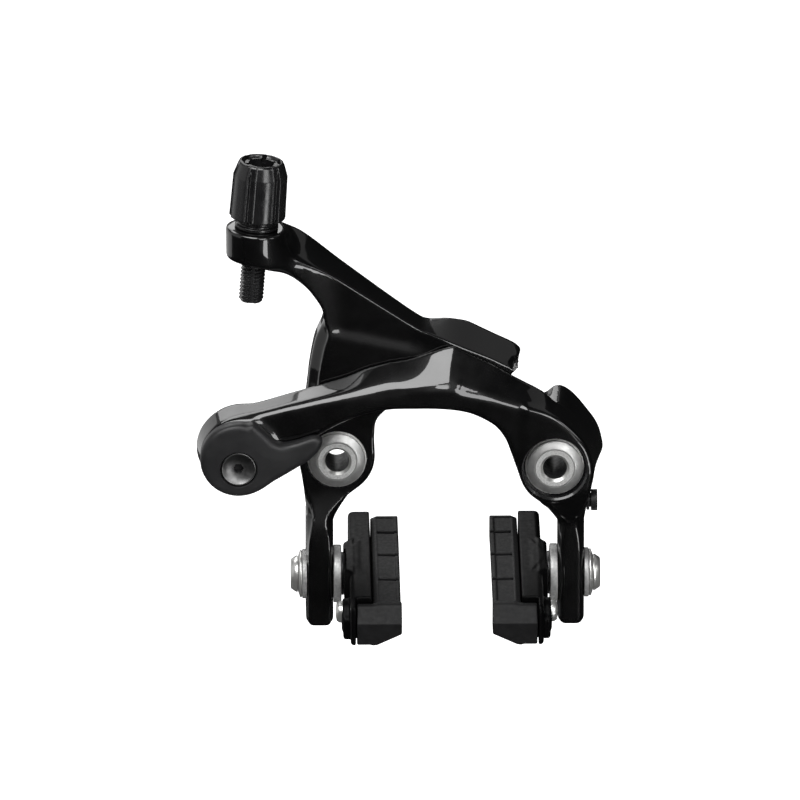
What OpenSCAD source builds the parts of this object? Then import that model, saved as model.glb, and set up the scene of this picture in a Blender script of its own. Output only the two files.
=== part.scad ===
// Direct-mount dual-pivot rim brake caliper for a road bicycle, all pieces separate.
// X runs across the wheel, Y points back to the frame, Z is up, in millimetres.
// The origin lies midway between the two frame bolts, on the face that meets the frame.

/* [Frame mounting] */
// Distance between the two frame bolts
bolt_spacing = 56; // [55:0.5:57]
// Radius of the frame bolt hole through each pivot stud
stud_bore_r = 3.1; // [3:0.05:3.2]
// Radius of the running surface of each pivot stud
stud_r = 5; // [4.8:0.05:5.1]
// Depth of the front face of the left stud in front of the frame
left_face = 13.8; // [13.4:0.1:14.4]
// Depth of the front face of the right stud in front of the frame
right_face = 20; // [19.6:0.1:20.4]

/* [Arms] */
// Depth of the rear arm's front face
rear_arm_front = 12.2; // [11.8:0.1:12.3]
// Depth of the front arm's front face
front_arm_front = 20.4; // [20:0.1:20.5]
// Depth of the front arm's back face, where it passes the rear arm
front_arm_back = 12.6; // [12.5:0.1:13]
// Outer radius of the pivot hubs
hub_r = 9.6; // [9.4:0.1:9.9]
// Distance of a leg's inner face from the middle
leg_in = 29; // [28.8:0.1:29.2]
// Distance of a leg's outer face from the middle
leg_out = 35.8; // [35.5:0.1:36]
// Height of the bottom of the legs
leg_bottom = -44.4; // [-46:0.1:-44]

/* [Brake shoes] */
// Height of the shoe bolt axis
shoe_z = -32.2; // [-33:0.1:-31]
// Depth of the shoe bolt axis
shoe_depth = 10; // [9:0.1:11]
// Distance of the braking face from the middle
brake_face = 11.9; // [11.5:0.1:12.2]
// Pitch of the shoes, front end down, in degrees
shoe_pitch = 6.7; // [4:0.1:8]
// Radius of the rim that the shoes follow
rim_r = 305; // [250:5:330]

/* [Cable adjuster] */
// Lean of the adjuster axis towards the right, in degrees
adjuster_lean = 4.3; // [0:0.1:6]
// Outer radius of the threaded adjuster bolt
adjuster_bolt_r = 3.2; // [3:0.05:3.3]
// Radius of the socket for the cable housing
housing_r = 2.55; // [2.5:0.05:2.6]

/* [Quick release] */
// Outer radius of the lever's round head
lever_head_r = 9.4; // [9:0.1:9.8]
// Radius of the cam shaft
cam_r = 4.45; // [4.3:0.05:4.6]

/* [Hidden] */
$fn = 48;
pivot_x = bolt_spacing / 2;
run_gap = 0.04;             // radial running clearance of a pin or shaft
side_gap = 0.1;             // axial clearance beside a turning piece

flange_t = 1.6;             // rear flange of a stud
hub_back = 1.8;             // where the arm hubs start
nut_t = 1.6;
nut_r = 7.2;
washer_t = 0.5;
bushing_r = 5.9;
right_seat = right_face - nut_t - washer_t - side_gap;   // floor of the front arm's counterbore
left_seat = left_face - nut_t - washer_t - side_gap;     // front face of the rear arm's hub

spring_coil_r = 7.8;
spring_wire_r = 0.6;
spring_turns = 2.6;
spring_pitch = 1.6;
spring_back = 2.6;          // depth of the first turn
spring_leg = 9.4;           // length of the straight leg
spring_leg_turn = -30;      // angle where the leg leaves the coil
pocket_depth = 8.2;

roller_z = 22.3;
roller_r = 3;
roller_pin_r = 1.5;
plate_in = roller_z + roller_r + 0.2;    // radius of the track under the sync plate
plate_out = plate_in + 1.6;

adjuster_top = [-48.6, -10, 63.1];       // middle of the top face of the adjuster boss
boss_h = 8.7;
boss_r = 7.9;
seat_h = 2.4;
knob_from = 2.5;
knob_to = 17.9;

lever_axis = [-53.5, 1.8];               // across and up
lever_head = [-53.7, 4.6];
lever_back = 20.8;
lever_front = 25;
arm_boss = [-53.4, 4];
arm_boss_r = 10.6;
clamp_offset = [0.3, -2.4];              // eccentricity of the cable anchor
cam_disc_front = 11.6;
cam_disc_back = 9.9;
cable_gap = 1.6;

centring_z = -12.3;
bolt_r = 2.9;
slot_half = 3.2;                         // half width of the height slot in a leg
slot_travel = 3.5;
pad_from = -27.8;                        // front end of a shoe, measured from its bolt
screw_at = -18.5;                        // pad screw, in the same measure
screw_up = -2.16;
pad_to = 28.2;                           // rear end

// Outlines as seen from the front, across and up.
// Upper edge of the front arm, from the lever end over the arch to the right pivot.
front_top = [[-60, 8], [-56.9, 12.9], [-53.8, 14.7], [-50.4, 15.8], [-46.6, 16.9], [-41, 18.5],
    [-35, 20.4], [-28.3, 22.4], [-20.8, 25.2], [-15.2, 26.8], [-9.6, 27.9], [-4.1, 29.6],
    [1.3, 31], [6.3, 29.2], [15.5, 23.6], [20.7, 20.1], [25.4, 18], [29, 19.4],
    [35.2, 14.7], [38.8, 9.3], [40.4, 4.3]];
// The same edge on the front face, below the slanted upper face.
front_bevel = [[-59, 8], [-56.4, 12.4], [-51.5, 14.3], [-46.6, 15.5], [-38.5, 17.6], [-32, 19],
    [-26.4, 20], [-20.8, 21], [-14, 22], [-9, 22.6], [-4.1, 23.3], [0.8, 23.8], [6.3, 22.8], [15.5, 19.2], [20.7, 17.6], [25.4, 16.2], [29, 14.4],
    [33.2, 11], [36.6, 6.6], [38.2, 3]];
// Outer side below the right pivot and back along the lower edge to the lever end.
front_low = [[40, 0], [38.5, -4.8], [36.6, -10], [35.8, -16], [35.8, -21], [29, -21],
    [28.6, -17.5], [23.9, -9], [20, -4.3], [18.2, 0], [16.7, 4.1], [15.2, 8], [12.6, 11.4],
    [8.8, 13.8], [5, 15.3], [0, 16.2], [-5, 16.5], [-11, 16.3], [-17.9, 15.4], [-23.6, 13.7],
    [-30.2, 10.6], [-37, 6], [-44, 1], [-50, -4.6], [-56, -1]];
// Rear arm: over the beam and the branch, then down to the pivot and up the left side.
rear_outline = [[-50, 62.2], [-44, 62.6], [-37.5, 61], [-26.5, 52.6], [-14.6, 43.7],
    [-7.5, 38.2], [-4, 36], [0, 35.4], [5.8, 34.5], [11, 32], [16.8, 29.1], [18.5, 28],
    [19.3, 26.7], [18.7, 25], [17.2, 23.5], [15.4, 22.4], [4, 24], [-6.2, 24], [-9.5, 19.6], [-13, 15.5], [-17.6, 11],
    [-18.4, 6], [-18.6, 0], [-20.2, -4.4], [-25.6, -11.2], [-28.8, -16], [-29, -21],
    [-35.8, -21], [-36, -14], [-36.8, -7], [-37.4, 0], [-36.8, 8], [-35.5, 20], [-34.9, 25],
    [-33.6, 31.6], [-31.6, 36.6], [-31.6, 40], [-33.2, 43.4], [-36.4, 47.4], [-41.4, 51],
    [-47, 53.2]];
// Tail of the quick release lever.
lever_tail = [[-50.6, 13.2], [-46.4, 10.2], [-42.4, 8.3], [-38.7, 8.8], [-35.2, 9.9], [-33.2, 10.1],
    [-31.9, 9.3], [-32, 7.9], [-33, 6], [-34.6, 4.2], [-36.8, 2.6], [-48.8, -3.8], [-53.5, -2]];

// One point of a smooth curve between b and c, t from 0 to 1.
function between(a, b, c, d, t) =
    0.5 * (2 * b + (c - a) * t + (2 * a - 5 * b + 4 * c - d) * t * t
    + (3 * b - a - 3 * c + d) * t * t * t);
// Closed smooth curve through the points p, n steps from each to the next.
function smooth(p, n = 3) = let (k = len(p))
    [for (i = [0:k - 1], j = [0:n - 1])
        between(p[(i + k - 1) % k], p[i], p[(i + 1) % k], p[(i + 2) % k], j / n)];
// Spring wire: the coil, then a straight leg in the direction that it leaves.
function coil_end() = let (a = spring_leg_turn, y = -spring_back - spring_turns * spring_pitch)
    [spring_coil_r * cos(a), y, spring_coil_r * sin(a)];
function coil_points(n = 20) = let (steps = n * spring_turns)
    concat([for (i = [0:steps]) let (a = spring_leg_turn + (steps - i) * 360 / n)
        [spring_coil_r * cos(a), -spring_back - spring_pitch * i / n, spring_coil_r * sin(a)]],
    [coil_end() + spring_leg * leg_dir()]);
function leg_dir() = [sin(spring_leg_turn), 0, -cos(spring_leg_turn)];
function unit(v) = v / norm(v);
function ring(p, dir, r, n) = let (side = unit(cross(dir, [0, 1, 0])), up = cross(side, dir))
    [for (k = [0:n - 1]) p + r * (cos(k * 360 / n) * side + sin(k * 360 / n) * up)];

// Round wire along the points p.
module wire(p, r, n = 8) {
    last = len(p) - 1;
    pts = [for (i = [0:last]) each
        ring(p[i], unit(p[min(i + 1, last)] - p[max(i - 1, 0)]), r, n)];
    sides = [for (i = [0:last - 1], k = [0:n - 1]) let (m = (k + 1) % n)
        [i * n + k, i * n + m, (i + 1) * n + m, (i + 1) * n + k]];
    caps = [[for (k = [n - 1:-1:0]) k], [for (k = [0:n - 1]) last * n + k]];
    polyhedron(points = pts, faces = concat(sides, caps));
}
// Children drawn across and up, standing forward from the depth given.
module facing(across = 0, up = 0, depth = 0) {
    translate([across, -depth, up]) rotate([90, 0, 0]) children();
}
// Flat piece between two depths in front of the frame.
module slab(from, to) {
    facing(depth = from) linear_extrude(to - from) children();
}
// Round piece between two depths.
module disc(across, up, from, to, r) {
    facing(across, up, from) cylinder(h = to - from, r = r);
}
// Turned piece about the axis at across and up; profile of radius and depth.
module turned(across, up, profile) {
    facing(across, up) rotate_extrude() polygon(profile);
}
// Round piece along X between two distances from the middle.
module peg(from, to, r, depth, up) {
    translate([from, -depth, up]) rotate([0, 90, 0]) cylinder(h = to - from, r = r);
}
module on_adjuster() {
    translate(adjuster_top) rotate([0, adjuster_lean, 0]) children();
}
module mirrored(side) {
    if (side < 0) mirror([1, 0, 0]) children();
    else children();
}

// Pivots
module pivot_stud(side, face) {
    color("silver") turned(side * pivot_x, 0, [[stud_bore_r, 0], [hub_r - 0.2, 0],
        [hub_r - 0.2, flange_t], [stud_r, flange_t], [stud_r, face], [3.75, face],
        [stud_bore_r, face - 0.7]]);
}
module pivot_nut(side, face) {
    color("silver") turned(side * pivot_x, 0, [[stud_r, face - nut_t], [nut_r, face - nut_t],
        [nut_r, face - 1.1], [5.4, face], [stud_r, face]]);
}
module thrust_washer(side, face) {
    color("gainsboro") turned(side * pivot_x, 0, [[stud_r + run_gap, face - nut_t - washer_t],
        [7.6, face - nut_t - washer_t], [7.6, face - nut_t], [stud_r + run_gap, face - nut_t]]);
}
module pivot_bushing(side, seat) {
    color("dimgray") turned(side * pivot_x, 0, [[stud_r + run_gap, hub_back + side_gap],
        [bushing_r, hub_back + side_gap], [bushing_r, seat], [stud_r + run_gap, seat]]);
}
module return_spring(side) {
    color("lightgray") mirrored(side) translate([pivot_x, 0, 0]) wire(coil_points(), spring_wire_r);
}
// Space for a return spring in the back of a hub.
module spring_pocket(side) {
    mirrored(side) translate([pivot_x, 0, 0]) {
        facing(depth = hub_back - 1) difference() {
            cylinder(h = pocket_depth - hub_back + 1, r = spring_coil_r + 0.9);
            translate([0, 0, -1]) cylinder(h = pocket_depth + 4, r = spring_coil_r - 0.9);
        }
        facing(depth = hub_back - 1) rotate([0, 0, spring_leg_turn - 90])
            translate([-0.6, spring_coil_r - 1, 0])
                cube([spring_leg + 1.6, 2, pocket_depth - hub_back + 1]);
    }
}
// Leg of an arm down to the brake shoe, with the slot for its height.
module leg(side) {
    mirrored(side) slab(3.8, 16.2) polygon([[leg_in + 0.6, leg_bottom], [leg_out - 1, leg_bottom],
        [leg_out, leg_bottom + 1], [leg_out, -13], [leg_in, -14], [leg_in, leg_bottom + 0.6]]);
}
module leg_slot(side) {
    mirrored(side) {
        for (dz = [-slot_travel, slot_travel])
            peg(leg_in - 3, leg_out + 3, slot_half, shoe_depth, shoe_z + dz);
        translate([leg_in - 3, -shoe_depth - slot_half, shoe_z - slot_travel])
            cube([leg_out - leg_in + 6, 2 * slot_half, 2 * slot_travel]);
    }
}

// Rear arm with the adjuster boss, the branch over the middle and the left leg
module rear_arm() {
    color("black") difference() {
        union() {
            slab(2.2, rear_arm_front) polygon(smooth(rear_outline));
            disc(-pivot_x, 0, hub_back, left_seat, hub_r);
            leg(-1);
            on_adjuster() translate([0, 0, -boss_h]) cylinder(h = boss_h, r = boss_r);
        }
        // room for the roller of the front arm, and the face that the sync plate lies on
        intersection() {
            disc(0, 0, 0, 20, plate_out);
            translate([-6.2, -20, 0]) cube([40, 20, 40]);
        }
        disc(-pivot_x, 0, left_seat, 20, 7.9);
        disc(-pivot_x, 0, 0, 20, bushing_r);
        disc(-pivot_x, 0, -1, hub_back, hub_r + 0.4);
        spring_pocket(-1);
        leg_slot(-1);
        on_adjuster() {
            translate([0, 0, -20]) cylinder(h = 30, r = adjuster_bolt_r + 0.08);
            cylinder(h = 10, r = boss_r + 6);
        }
    }
}
module sync_plate() {
    color("silver") facing(depth = 3.5) rotate([0, 0, 65]) rotate_extrude(angle = 37)
        polygon([[plate_in, 0], [plate_out, 0], [plate_out, 8], [plate_in, 8]]);
}

// Barrel adjuster
module adjuster_seat() {
    color("dimgray") on_adjuster() rotate_extrude() polygon([[adjuster_bolt_r + 0.08, 0],
        [5.5, 0], [5.5, seat_h - 0.4], [5.1, seat_h], [adjuster_bolt_r + 0.08, seat_h]]);
}
module adjuster_knob() {
    color("black") on_adjuster() difference() {
        rotate_extrude() polygon([[adjuster_bolt_r + 0.06, knob_from], [6.6, knob_from],
            [7.2, knob_from + 0.6], [6.8, 13.6], [5.4, 17.2], [5.2, knob_to],
            [adjuster_bolt_r + 0.06, knob_to]]);
        for (a = [0:60:300]) rotate([0, 0, a + 9.5])
            translate([7.9, 0, knob_from - 1]) cylinder(h = 20, r = 1.2);
        for (a = [0:60:300]) rotate([0, 0, a]) translate([3, -0.7, knob_to - 1.4]) cube([4, 1.4, 3]);
    }
}
module adjuster_bolt() {
    color("black") on_adjuster() difference() {
        translate([0, 0, -20.2]) cylinder(h = 33.2, r = adjuster_bolt_r);
        translate([0, 0, -22]) cylinder(h = 40, r = 1.1);
        translate([0, 0, 5]) cylinder(h = 12, r = housing_r);
        translate([-0.7, -4, -22]) cube([1.4, 1.8, 20]);
    }
}

// Front arm with the lever boss, the arch and the right leg
module front_arm() {
    color("black") difference() {
        union() {
            slab(front_arm_back, 16) polygon(smooth(concat(front_top, front_low)));
            slab(16, front_arm_front) polygon(smooth(concat(front_bevel, front_low)));
            intersection() {
                slab(hub_back, front_arm_back) polygon(smooth(concat(front_top, front_low)));
                translate([19.6, -20, -30]) cube([30, 20, 60]);
            }
            disc(pivot_x, 0, hub_back, front_arm_front, hub_r - 0.2);
            disc(arm_boss[0], arm_boss[1], cam_disc_front + 0.3, front_arm_front, arm_boss_r);
            leg(1);
        }
        disc(pivot_x, 0, 0, 30, bushing_r);
        disc(pivot_x, 0, right_seat, 30, 8.1);
        spring_pocket(1);
        leg_slot(1);
        disc(lever_axis[0], lever_axis[1], 5, 30, cam_r + 0.05);
        disc(0, roller_z, 5, 17, roller_pin_r);
        peg(29, 45, 1.85 + run_gap, shoe_depth, centring_z);
        peg(36.35, 45, 3, shoe_depth, centring_z);
    }
}
module roller_pin() {
    color("silver") {
        disc(0, roller_z, 4.8, 17, roller_pin_r);
        disc(0, roller_z, 4.2, 4.8, 2.2);
    }
}
module sync_roller() {
    color("gainsboro") turned(0, roller_z, [[roller_pin_r + run_gap, 5], [roller_r - 0.3, 5],
        [roller_r, 5.3], [roller_r, 12.1], [roller_r - 0.3, 12.4], [roller_pin_r + run_gap, 12.4]]);
}
module centring_screw() {
    color("black") difference() {
        union() {
            peg(31.2, 37.6, 1.85, shoe_depth, centring_z);
            peg(36.45, 37.1, 2.6, shoe_depth, centring_z);
            peg(37.6, 39.2, 2.75, shoe_depth, centring_z);
        }
        peg(38.1, 40, 1.3, shoe_depth, centring_z, $fn = 6);
    }
}

// Quick release
module quick_release_lever() {
    color("darkslategray") difference() {
        union() {
            disc(lever_head[0], lever_head[1], lever_back, lever_front, lever_head_r);
            slab(lever_back, lever_front - 0.4) polygon(smooth(lever_tail));
        }
        disc(lever_axis[0], lever_axis[1], 20, 30, 2.5);
        disc(lever_axis[0], lever_axis[1], 22.8, 30, 4.7);
    }
}
module cam_shaft() {
    color("silver") difference() {
        union() {
            disc(lever_axis[0], lever_axis[1], cam_disc_back, lever_back, cam_r);
            disc(lever_axis[0], lever_axis[1], cam_disc_back, cam_disc_front, 6.8);
        }
        disc(lever_axis[0], lever_axis[1], 16.5, 22, 2.5);
        disc(lever_axis[0] + clamp_offset[0], lever_axis[1] + clamp_offset[1], 9, 15.5, 2);
    }
}
module lever_screw() {
    color("dimgray") difference() {
        union() {
            disc(lever_axis[0], lever_axis[1], 16.6, 23, 2.5);
            disc(lever_axis[0], lever_axis[1], 22.8, 24.3, 4.5);
        }
        facing(lever_axis[0], lever_axis[1], 22) cylinder(h = 4, r = 1.7, $fn = 6);
    }
}
module cable_clamp_plate() {
    back = cam_disc_back - cable_gap;
    color("silver") turned(lever_axis[0] + clamp_offset[0], lever_axis[1] + clamp_offset[1],
        [[2, back - 1.4], [4.8, back - 1.4], [4.8, back], [2, back]]);
}
module cable_clamp_bolt() {
    back = cam_disc_back - cable_gap - 1.4;
    color("gray") {
        disc(lever_axis[0] + clamp_offset[0], lever_axis[1] + clamp_offset[1], back - 1, 15.4, 2);
        facing(lever_axis[0] + clamp_offset[0], lever_axis[1] + clamp_offset[1], back - 3.3)
            cylinder(h = 3.3, r = 4.2, $fn = 6);
    }
}

// Brake shoes, drawn for the right side
module shoe_bolt(side) {
    color("silver") mirrored(side) difference() {
        union() {
            peg(20.5, 39, bolt_r, shoe_depth, shoe_z);
            translate([38.2, -shoe_depth, shoe_z]) rotate([0, 90, 0])
                rotate_extrude() polygon([[0, 0], [4.7, 0], [4.7, 0.4], [3.7, 1.8], [0, 1.8]]);
        }
        peg(38.6, 42, 2.2, shoe_depth, shoe_z, $fn = 6);
    }
}
module washer(side, from, to, r) {
    mirrored(side) difference() {
        peg(from, to, r, shoe_depth, shoe_z);
        peg(from - 1, to + 1, bolt_r, shoe_depth, shoe_z);
    }
}
module outer_washer(side) {
    color("silver") washer(side, leg_out + 0.05, leg_out + 1.3, 6.4);
}
module dished_washer(side) {
    color("gainsboro") washer(side, leg_out + 1.3, 38.2, 6.1);
}
module spacer_washer(side) {
    color("silver") washer(side, leg_in - 2.1, leg_in - 0.05, 7.5);
}
module convex_washer(side) {
    color("gray") washer(side, leg_in - 3.1, leg_in - 2.1, 5.6);
}
module on_shoe(side) {
    mirrored(side) translate([0, -shoe_depth, shoe_z]) rotate([shoe_pitch, 0, 0]) children();
}
// Arc along the rim from one length to another; the profile is height and distance from the middle.
module rim_arc(from, to, profile) {
    per_mm = 180 / (PI * rim_r);
    translate([0, 0, -rim_r]) rotate([0, 90, 0]) rotate([0, 0, 180 - to * per_mm])
        rotate_extrude(angle = (to - from) * per_mm, $fn = 720)
            polygon([for (p = profile) [rim_r + p[0], p[1]]]);
}
module shoe_holder(side) {
    color("black") on_shoe(side) difference() {
        union() {
            rim_arc(pad_from, pad_to, [[-6.9, 19], [-6.9, 22.5], [-4.5, 24.8], [3.4, 24.8],
                [5.3, 23], [5.3, 19]]);
            rotate([0, 90, 0]) translate([0, 0, 24]) cylinder(h = leg_in - 3.15 - 24, r1 = 7.4, r2 = 6.4);
            // boss of the pad screw, and the hood over the washers
            translate([20.5, screw_at, screw_up]) rotate([0, 90, 0]) cylinder(h = 5.8, r = 3.9);
            translate([20.5, screw_at - 5.2, screw_up - 5]) cube([5.6, 8.4, 6]);
            difference() {
                rotate([0, 90, 0]) translate([0, 0, 24]) cylinder(h = 2.2, r1 = 9.3, r2 = 7.8);
                translate([20, -15, -15]) cube([10, 30, 17.6]);
                rotate([0, 90, 0]) translate([0, 0, leg_in - 3.15]) cylinder(h = 5, r = 6.2);
            }
        }
        rotate([0, 90, 0]) translate([0, 0, 20.4]) cylinder(h = 10, r = bolt_r + run_gap);
        translate([19.5, screw_at, screw_up]) rotate([0, 90, 0]) cylinder(h = 10, r = 1);
        translate([10, -45, -15]) cube([13.5, 45 - 22.4, 30]);       // room for the end block
    }
}
module pad_insert(side) {
    color("dimgray") on_shoe(side) difference() {
        union() {
            rim_arc(pad_from - 0.4, pad_to - 0.9, [[-6, 19], [-6, 18.3], [-2.4, brake_face],
                [3.6, brake_face], [4, brake_face + 0.4], [4, 17.4], [3.3, 19]]);
            rim_arc(pad_from - 0.9, -22.9, [[-5.8, 23.25], [-5.8, 17.5], [3, 17.5], [3, 19.2],
                [3.8, 19.8], [3.8, 23.25]]);
        }
        for (at = [-10.7, 2.9, 16.5]) translate([brake_face - 1, at - 0.6, -8]) cube([2.6, 1.2, 20]);
        // bevelled front end
        rotate([90, 0, 90]) linear_extrude(40) polygon([[-24.4, 3.05], [-28.1, -0.4], [-26.7, -6.8],
            [-26.2, -9], [-40, -9], [-40, 9], [-24.4, 9]]);
    }
}
module insert_screw(side) {
    color("silver") on_shoe(side) translate([0, screw_at, screw_up]) rotate([0, 90, 0]) {
        translate([0, 0, 20]) cylinder(h = 6.4, r = 1);
        translate([0, 0, 26.4]) cylinder(h = 1.1, r = 2.8);
        translate([0, 0, 27.5]) cylinder(h = 0.9, r1 = 2.8, r2 = 1.6);
    }
}

pivot_stud(-1, left_face);  // left_pivot_stud
pivot_stud(1, right_face);  // right_pivot_stud
pivot_nut(-1, left_face);  // left_pivot_nut
pivot_nut(1, right_face);  // right_pivot_nut
thrust_washer(-1, left_face);  // left_thrust_washer
thrust_washer(1, right_face);  // right_thrust_washer
rear_arm();
pivot_bushing(-1, left_seat);  // left_pivot_bushing
return_spring(-1);  // left_return_spring
sync_plate();
adjuster_seat();
adjuster_knob();
adjuster_bolt();
front_arm();
pivot_bushing(1, right_seat);  // right_pivot_bushing
return_spring(1);  // right_return_spring
roller_pin();
sync_roller();
centring_screw();
quick_release_lever();
cam_shaft();
lever_screw();
cable_clamp_plate();
cable_clamp_bolt();
shoe_bolt(-1);  // left_shoe_bolt
outer_washer(-1);  // left_outer_washer
dished_washer(-1);  // left_dished_washer
spacer_washer(-1);  // left_spacer_washer
convex_washer(-1);  // left_convex_washer
shoe_holder(-1);  // left_shoe_holder
pad_insert(-1);  // left_pad_insert
insert_screw(-1);  // left_insert_screw
shoe_bolt(1);  // right_shoe_bolt
outer_washer(1);  // right_outer_washer
dished_washer(1);  // right_dished_washer
spacer_washer(1);  // right_spacer_washer
convex_washer(1);  // right_convex_washer
shoe_holder(1);  // right_shoe_holder
pad_insert(1);  // right_pad_insert
insert_screw(1);  // right_insert_screw
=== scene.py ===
import math

import bmesh
import bpy
import numpy as np
from mathutils import Matrix, Vector


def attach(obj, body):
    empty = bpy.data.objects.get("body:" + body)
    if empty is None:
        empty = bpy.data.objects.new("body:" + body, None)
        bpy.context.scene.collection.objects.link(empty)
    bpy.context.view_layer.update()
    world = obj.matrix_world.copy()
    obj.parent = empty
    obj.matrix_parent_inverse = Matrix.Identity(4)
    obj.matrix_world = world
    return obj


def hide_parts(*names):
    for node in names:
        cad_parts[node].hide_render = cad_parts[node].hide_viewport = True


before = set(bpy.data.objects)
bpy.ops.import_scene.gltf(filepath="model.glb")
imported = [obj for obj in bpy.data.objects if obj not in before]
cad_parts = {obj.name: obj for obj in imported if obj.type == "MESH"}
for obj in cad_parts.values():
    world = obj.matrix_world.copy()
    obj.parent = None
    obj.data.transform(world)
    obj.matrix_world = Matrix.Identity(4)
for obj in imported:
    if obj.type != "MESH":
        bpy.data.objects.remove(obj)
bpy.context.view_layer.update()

# Rim brake caliper. Sizes are in millimetres, in the frame of the CAD model, and become metres
# when a mesh is made. X runs across the wheel, Y back to the frame, Z up; depth means -Y.
MM = 0.001
FINE = 0.45      # grid step of the sculpted pieces
ROUND = 96        # segments of a turned piece

PIVOT_X = 28.0
LEFT_STUD_FACE, RIGHT_STUD_FACE = 13.8, 20.0
SHOE_DEPTH, SHOE_Z, SHOE_PITCH = 10.0, -32.2, math.radians(6.7)
SCREW_AT, SCREW_UP = -18.5, -1.6        # the small screw of a shoe, along it and above its axis
RIM_CURVE = 610.0                       # twice the radius that a shoe is bent to
PAD_FACE, PAD_TOP, PAD_BOTTOM = 11.9, 4.0, -6.0     # the face by its distance from the middle
PAD_GROOVES = (16.5, 2.9, -10.7)        # along the shoe
LEG_IN, LEG_OUT, LEG_BOTTOM = 29.0, 35.8, -44.4
LEVER_AXIS = (-53.5, 1.8)
LEVER_DISC, LEVER_DISC_R = (-53.5, 4.1), 9.9
ADJUSTER_TOP = (-48.6, -10.0, 63.1)
ADJUSTER_LEAN = math.radians(4.3)
THREAD_PITCH = 1.0
FLOOR_REACH, FLOOR_LEVEL = 6.0, -0.30   # metres
FIELD_EDGE = 0.01                       # least value of a field on the wall of its box
NEVER = 1e9


# ---------------------------------------------------------------- camera, light and floor
def aim(obj, target):
    direction = Vector(target) - obj.location
    obj.rotation_euler = direction.to_track_quat("-Z", "Y").to_euler()


def make_camera():
    target = Vector((-0.01173, -0.010, 0.0154))
    azimuth, elevation, distance = math.radians(-1.0), math.radians(20.0), 5.0
    cam = bpy.data.objects.new("camera", bpy.data.cameras.new("camera"))
    cam.data.lens, cam.data.sensor_width = 873.0, 36.0
    cam.data.clip_start, cam.data.clip_end = 0.05, 20.0
    cam.location = target + distance * Vector((
        math.sin(azimuth) * math.cos(elevation),
        -math.cos(azimuth) * math.cos(elevation),
        math.sin(elevation)))
    aim(cam, target)
    bpy.context.scene.collection.objects.link(cam)
    bpy.context.scene.camera = cam


def soft_light(name, place, target, size, radiance):
    """A rectangular lamp, invisible to the camera, of the radiance given."""
    lamp = bpy.data.lights.new(name, "AREA")
    lamp.shape, lamp.size, lamp.size_y = "RECTANGLE", size[0], size[1]
    lamp.energy = radiance * math.pi * size[0] * size[1]
    obj = bpy.data.objects.new(name, lamp)
    obj.location = place
    aim(obj, target)
    obj.visible_camera = False
    bpy.context.scene.collection.objects.link(obj)


def make_stage():
    # name, place, target, size in metres, radiance
    lamps = [
        ("key_softbox", (-0.39, -0.74, 0.90), (-0.39, -0.74, 0.0), (0.94, 0.88), 8.5),
        ("key_rear", (-0.44, 0.64, 0.90), (-0.44, 0.64, 0.0), (0.84, 0.54), 4.0),
        ("front_fill", (0.78, -1.60, 0.80), (0, 0, 0), (0.8, 0.85), 7.0),
        ("back_left", (-0.24, 1.00, 0.62), (0, 0, 0), (0.7, 0.42), 2.2),
        ("top_back", (0.55, 0.75, 1.15), (0, 0, 0), (1.2, 0.6), 0.3),
        ("left_softbox", (-0.95, -0.10, 0.27), (0, -0.1, 0.1), (0.8, 0.9), 0.6),
        ("back_low_left", (-0.85, 0.85, -0.03), (0, 0, 0), (1.3, 0.9), 0.7),
        ("right_softbox", (0.80, -0.42, 0.47), (0, 0, 0), (0.30, 0.30), 3.5),
        ("low_strip", (0.33, -0.57, -0.11), (0, 0, 0.03), (0.15, 0.26), 8.0)]
    for lamp in lamps:
        soft_light(*lamp)
    world = bpy.data.worlds.new("studio")
    bpy.context.scene.world = world
    world.use_nodes = True
    nodes, links = world.node_tree.nodes, world.node_tree.links
    back = nodes["Background"]
    back.inputs["Color"].default_value = (0.96, 0.96, 0.96, 1)
    path = nodes.new("ShaderNodeLightPath")
    strength = nodes.new("ShaderNodeMapRange")
    strength.inputs["To Min"].default_value = 0.012
    strength.inputs["To Max"].default_value = 1.0
    links.new(path.outputs["Is Camera Ray"], strength.inputs["Value"])
    links.new(strength.outputs["Result"], back.inputs["Strength"])
    mesh = bpy.data.meshes.new("floor")
    corners = ((-1, -1), (1, -1), (1, 1), (-1, 1))
    mesh.from_pydata([(FLOOR_REACH * a, FLOOR_REACH * b, FLOOR_LEVEL) for a, b in corners],
                     [], [(0, 1, 2, 3)])
    floor = bpy.data.objects.new("floor", mesh)
    bpy.context.scene.collection.objects.link(floor)
    floor.visible_glossy = False
    mat = bpy.data.materials.new("floor_paper")
    mat.use_nodes = True
    shader = mat.node_tree.nodes["Principled BSDF"]
    shader.inputs["Base Color"].default_value = (0.93, 0.93, 0.93, 1)
    shader.inputs["Roughness"].default_value = 1.0
    shader.inputs["Emission Color"].default_value = (1, 1, 1, 1)
    shader.inputs["Emission Strength"].default_value = 0.75
    floor.data.materials.append(mat)
    bpy.context.scene.view_settings.view_transform = "Standard"


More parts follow.
